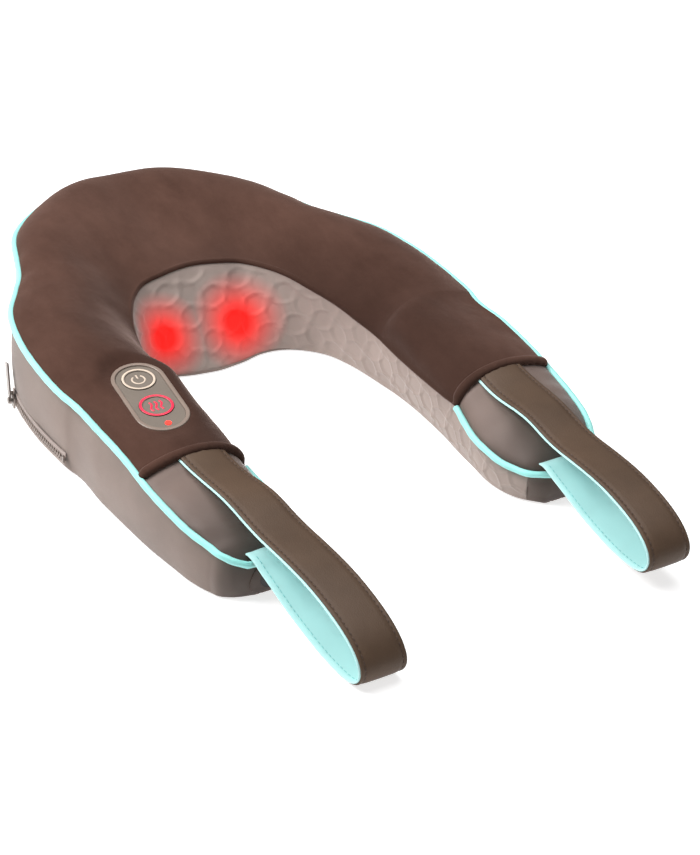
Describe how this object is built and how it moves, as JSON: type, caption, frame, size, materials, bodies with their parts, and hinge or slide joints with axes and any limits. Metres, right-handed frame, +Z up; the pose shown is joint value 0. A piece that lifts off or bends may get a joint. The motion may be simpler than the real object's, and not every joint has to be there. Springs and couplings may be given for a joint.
{
  "type": "shiatsu neck massager",
  "caption": "Padded U-shaped neck massager with kneading heads in the back, heat and power keys on one arm, a zipped side and a pull strap loop on each arm.",
  "frame": {"origin": "middle of the whole object's footprint, on the underside", "axes": "+Z up from the underside, +Y from the strap loops towards the back of the neck, +X towards the right arm"},
  "size_m": [0.3424, 0.5638, 0.0872],
  "materials": {
    "velour": "short pile, matte",
    "side_cloth": "smooth woven, soft sheen",
    "neck_cloth": "embossed, matte",
    "cap_cloth": "satin",
    "base_cloth": "plain woven, matte",
    "piping_cord": "satin corded edge",
    "foam": "open-cell foam",
    "strap_leather": "semi-matte grain",
    "strap_lining": "smooth tape, soft sheen",
    "zipper_tape": "woven tape",
    "zipper_metal": "satin nickel",
    "zipper_coil": "nylon",
    "pad_frame": "satin moulded",
    "pad_face": "fine matte",
    "key": "fine matte",
    "lens": "clear red",
    "board": "circuit board",
    "switch": "moulded",
    "housing": "moulded",
    "jack_body": "moulded",
    "jack_metal": "plated",
    "lead": "insulated lead",
    "shell": "moulded",
    "steel": "machined",
    "bush": "sintered",
    "gear": "moulded acetal",
    "head": "moulded",
    "node_cover": "smooth",
    "motor_metal": "plated",
    "copper": "wound armature"
  },
  "bodies": {
    "massager_body": {"back_foam": "foam", "bottom_panel": "base_cloth", "control_bezel": "pad_frame", "control_board": "board", "control_housing": "housing", "dc_jack": "jack_body", "front_shell": "shell", "jack_bezel": "jack_body", "jack_lead": "lead", "jack_pin": "jack_metal", "key_plate": "pad_face", "key_switches": "switch", "lamp_lens": "lens", "left_arm_foam": "foam", "left_end_cap": "cap_cloth", "left_heat_lamp": "lens", "left_hem": "velour", "left_strap_base": "strap_leather", "left_strap_base_lining": "strap_lining", "motor_bracket": "shell", "motor_can": "motor_metal", "motor_end_cap": "housing", "motor_lead": "lead", "neck_panel": "neck_cloth", "output_bushes": "bush", "piping": "piping_cord", "rear_shell": "shell", "right_arm_foam": "foam", "right_end_cap": "cap_cloth", "right_heat_lamp": "lens", "right_hem": "velour", "right_strap_base": "strap_leather", "right_strap_base_lining": "strap_lining", "shell_screws": "steel", "side_band": "side_cloth", "status_led": "lens", "top_cover": "velour", "worm_bushes": "bush", "zipper_stops": "zipper_metal", "zipper_tapes": "zipper_tape", "zipper_teeth": "zipper_coil"},
    "right_head": {"right_worm_wheel": "gear", "right_output_shaft": "steel", "right_head_arm": "head", "right_massage_nodes": "node_cover"},
    "left_head": {"left_worm_wheel": "gear", "left_output_shaft": "steel", "left_head_arm": "head", "left_massage_nodes": "node_cover"},
    "drive": {"worm": "steel", "motor_shaft": "steel", "motor_armature": "copper"},
    "power_key": {"power_button": "key"},
    "heat_key": {"heat_button": "key"},
    "zipper_runner": {"zipper_slider": "zipper_metal"},
    "zipper_tab": {"zipper_pull": "zipper_metal"},
    "left_pull_strap": {"left_strap_loop": "strap_leather", "left_strap_loop_lining": "strap_lining"},
    "right_pull_strap": {"right_strap_loop": "strap_leather", "right_strap_loop_lining": "strap_lining"}
  },
  "joints": [
    {"name": "right_head_spin", "type": "hinge", "parent": "massager_body", "child": "right_head", "pos_m": [0.03, 0.12293, 0.04156], "axis": [0, -0.7756, 0.6313], "continuous": true},
    {"name": "left_head_spin", "type": "hinge", "parent": "massager_body", "child": "left_head", "pos_m": [-0.03, 0.12293, 0.04156], "axis": [0, -0.7756, 0.6313], "continuous": true},
    {"name": "worm_spin", "type": "hinge", "parent": "massager_body", "child": "drive", "pos_m": [0, 0.15715, 0.04464], "axis": [1, 0, 0], "continuous": true},
    {"name": "power_press", "type": "slide", "parent": "massager_body", "child": "power_key", "axis": [0.078, 0.0764, -0.994], "range_m": [0, 0.0008], "stiffness_N_per_m": 1200},
    {"name": "heat_press", "type": "slide", "parent": "massager_body", "child": "heat_key", "axis": [0.078, 0.0764, -0.994], "range_m": [0, 0.0008], "stiffness_N_per_m": 1200},
    {"name": "zipper_run", "type": "hinge", "parent": "massager_body", "child": "zipper_runner", "pos_m": [0.11741, 0.03948, 0.012], "axis": [0, 0, 1], "range_deg": [0, 15]},
    {"name": "zipper_pull_swing", "type": "hinge", "parent": "zipper_runner", "child": "zipper_tab", "pos_m": [-0.16208, 0.1025, 0.012], "axis": [-0.9755, 0.22, 0], "range_deg": [-126, 44]},
    {"name": "left_strap_flex", "type": "hinge", "parent": "massager_body", "child": "left_pull_strap", "pos_m": [-0.121, -0.1645, 0.051], "axis": [-1, 0, 0], "range_deg": [-1, 35], "stiffness_Nm_per_rad": 0.5, "springref_deg": 1.72},
    {"name": "right_strap_flex", "type": "hinge", "parent": "massager_body", "child": "right_pull_strap", "pos_m": [0.121, -0.1645, 0.051], "axis": [-1, 0, 0], "range_deg": [-5, 35], "stiffness_Nm_per_rad": 0.5, "springref_deg": 1.72}
  ],
  "couplings": [
    {"joint": "left_head_spin", "follows": "right_head_spin", "ratio": -1},
    {"joint": "worm_spin", "follows": "right_head_spin", "ratio": 38}
  ]
}
